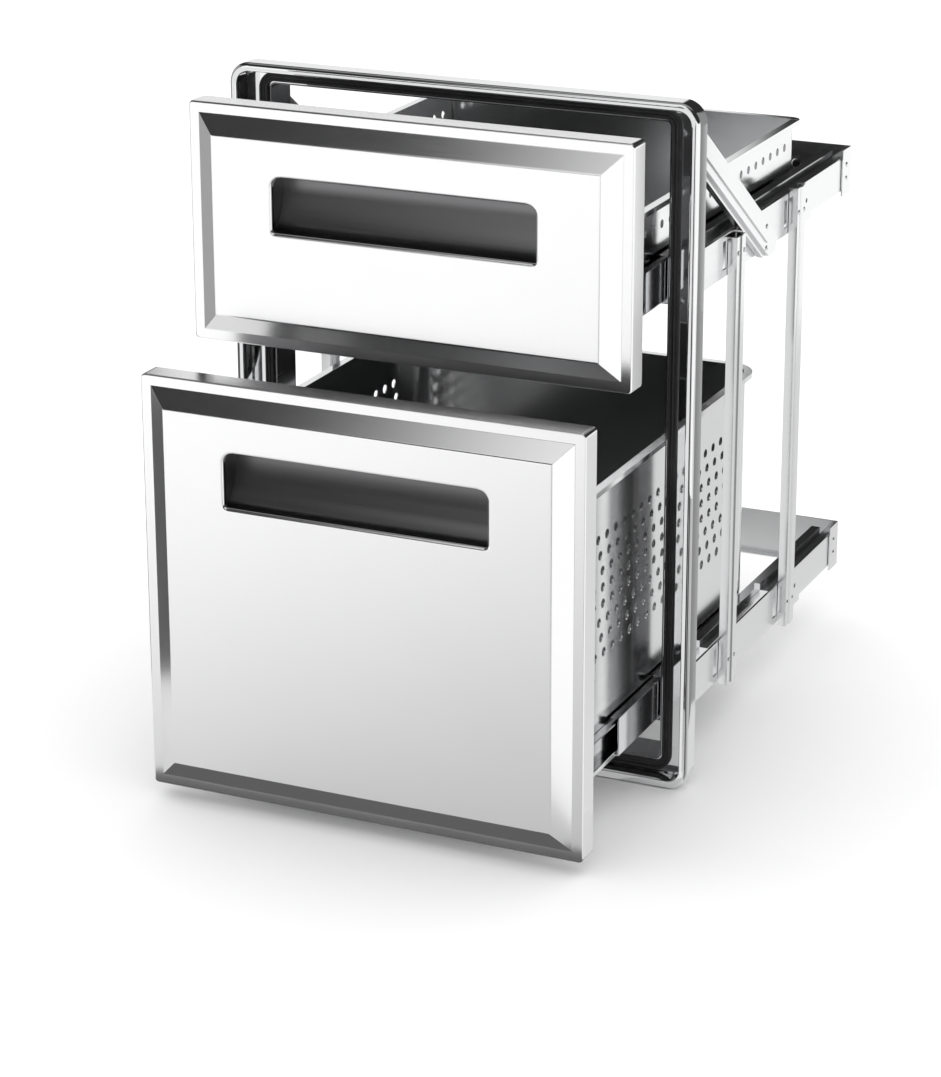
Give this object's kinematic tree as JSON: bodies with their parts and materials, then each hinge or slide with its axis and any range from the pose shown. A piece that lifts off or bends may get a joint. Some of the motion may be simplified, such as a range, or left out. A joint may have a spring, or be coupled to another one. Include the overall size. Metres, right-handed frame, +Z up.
{
  "type": "built-in drawer unit",
  "caption": "Built-in stainless steel drawer unit: shallow tray over a deep bin on full-extension slides in a polished face frame, with an open cage of rails, posts and braces behind",
  "frame": {"origin": "middle of the bottom run of the face frame's rear mounting face, 10 mm above the frame's lower edge", "axes": "+X to the right seen from the front, +Y from the front into the cabinet, +Z up"},
  "size_m": [0.46, 0.712, 0.645],
  "materials": {
    "polished_frame": "mirror-polished stainless steel",
    "sleeve_sheet": "plain stainless sheet",
    "gasket": "matt black rubber",
    "cage_sheet": "bright cold-rolled stainless sheet",
    "slide_zinc": "bright zinc-plated steel",
    "ball_cage": "dark pressed steel",
    "satin_front": "fine satin stainless steel",
    "liner_sheet": "plain stainless sheet",
    "handle_pocket": "smooth dark-looking stainless pressing",
    "box_sheet": "bright stainless sheet"
  },
  "bodies": {
    "frame": {"face_frame": "polished_frame", "frame_gasket": "gasket", "opening_sleeve": "sleeve_sheet", "upper_left_rail": "cage_sheet", "upper_right_rail": "cage_sheet", "upper_cross_channel": "cage_sheet", "lower_left_rail": "cage_sheet", "lower_right_rail": "cage_sheet", "lower_cross_channel": "cage_sheet", "front_left_post": "cage_sheet", "front_right_post": "cage_sheet", "rear_left_post": "cage_sheet", "rear_right_post": "cage_sheet", "left_brace": "cage_sheet", "right_brace": "cage_sheet", "upper_left_slide_outer": "slide_zinc", "upper_right_slide_outer": "slide_zinc", "lower_left_slide_outer": "slide_zinc", "lower_right_slide_outer": "slide_zinc"},
    "upper_drawer": {"upper_front_pan": "satin_front", "upper_front_liner": "liner_sheet", "upper_handle_pocket": "handle_pocket", "upper_box_front": "box_sheet", "upper_box_left_side": "box_sheet", "upper_box_right_side": "box_sheet", "upper_box_back": "box_sheet", "upper_box_floor": "box_sheet", "upper_left_slide_inner": "slide_zinc", "upper_right_slide_inner": "slide_zinc"},
    "upper_slide_middles": {"upper_left_slide_middle": "slide_zinc", "upper_right_slide_middle": "slide_zinc"},
    "upper_outer_ball_cages": {"upper_left_outer_ball_cage": "ball_cage", "upper_right_outer_ball_cage": "ball_cage"},
    "upper_inner_ball_cages": {"upper_left_inner_ball_cage": "ball_cage", "upper_right_inner_ball_cage": "ball_cage"},
    "lower_drawer": {"lower_front_pan": "satin_front", "lower_front_liner": "liner_sheet", "lower_handle_pocket": "handle_pocket", "lower_box_front": "box_sheet", "lower_box_left_side": "box_sheet", "lower_box_right_side": "box_sheet", "lower_box_back": "box_sheet", "lower_box_floor": "box_sheet", "lower_left_slide_inner": "slide_zinc", "lower_right_slide_inner": "slide_zinc"},
    "lower_slide_middles": {"lower_left_slide_middle": "slide_zinc", "lower_right_slide_middle": "slide_zinc"},
    "lower_outer_ball_cages": {"lower_left_outer_ball_cage": "ball_cage", "lower_right_outer_ball_cage": "ball_cage"},
    "lower_inner_ball_cages": {"lower_left_inner_ball_cage": "ball_cage", "lower_right_inner_ball_cage": "ball_cage"}
  },
  "joints": [
    {"name": "upper_drawer_slide", "type": "slide", "parent": "frame", "child": "upper_drawer", "axis": [0, -1, 0], "range_m": [-0.098, 0.342]},
    {"name": "upper_slide_middles_slide", "type": "slide", "parent": "frame", "child": "upper_slide_middles", "axis": [0, -1, 0], "range_m": [-0.049, 0.171]},
    {"name": "upper_outer_ball_cages_slide", "type": "slide", "parent": "frame", "child": "upper_outer_ball_cages", "axis": [0, -1, 0], "range_m": [-0.0245, 0.0855]},
    {"name": "upper_inner_ball_cages_slide", "type": "slide", "parent": "frame", "child": "upper_inner_ball_cages", "axis": [0, -1, 0], "range_m": [-0.0735, 0.2565]},
    {"name": "lower_drawer_slide", "type": "slide", "parent": "frame", "child": "lower_drawer", "axis": [0, -1, 0], "range_m": [-0.198, 0.242]},
    {"name": "lower_slide_middles_slide", "type": "slide", "parent": "frame", "child": "lower_slide_middles", "axis": [0, -1, 0], "range_m": [-0.099, 0.121]},
    {"name": "lower_outer_ball_cages_slide", "type": "slide", "parent": "frame", "child": "lower_outer_ball_cages", "axis": [0, -1, 0], "range_m": [-0.0495, 0.0605]},
    {"name": "lower_inner_ball_cages_slide", "type": "slide", "parent": "frame", "child": "lower_inner_ball_cages", "axis": [0, -1, 0], "range_m": [-0.1485, 0.1815]}
  ],
  "couplings": [
    {"joint": "upper_slide_middles_slide", "follows": "upper_drawer_slide", "ratio": 0.5},
    {"joint": "upper_outer_ball_cages_slide", "follows": "upper_drawer_slide", "ratio": 0.25},
    {"joint": "upper_inner_ball_cages_slide", "follows": "upper_drawer_slide", "ratio": 0.75},
    {"joint": "lower_slide_middles_slide", "follows": "lower_drawer_slide", "ratio": 0.5},
    {"joint": "lower_outer_ball_cages_slide", "follows": "lower_drawer_slide", "ratio": 0.25},
    {"joint": "lower_inner_ball_cages_slide", "follows": "lower_drawer_slide", "ratio": 0.75}
  ]
}
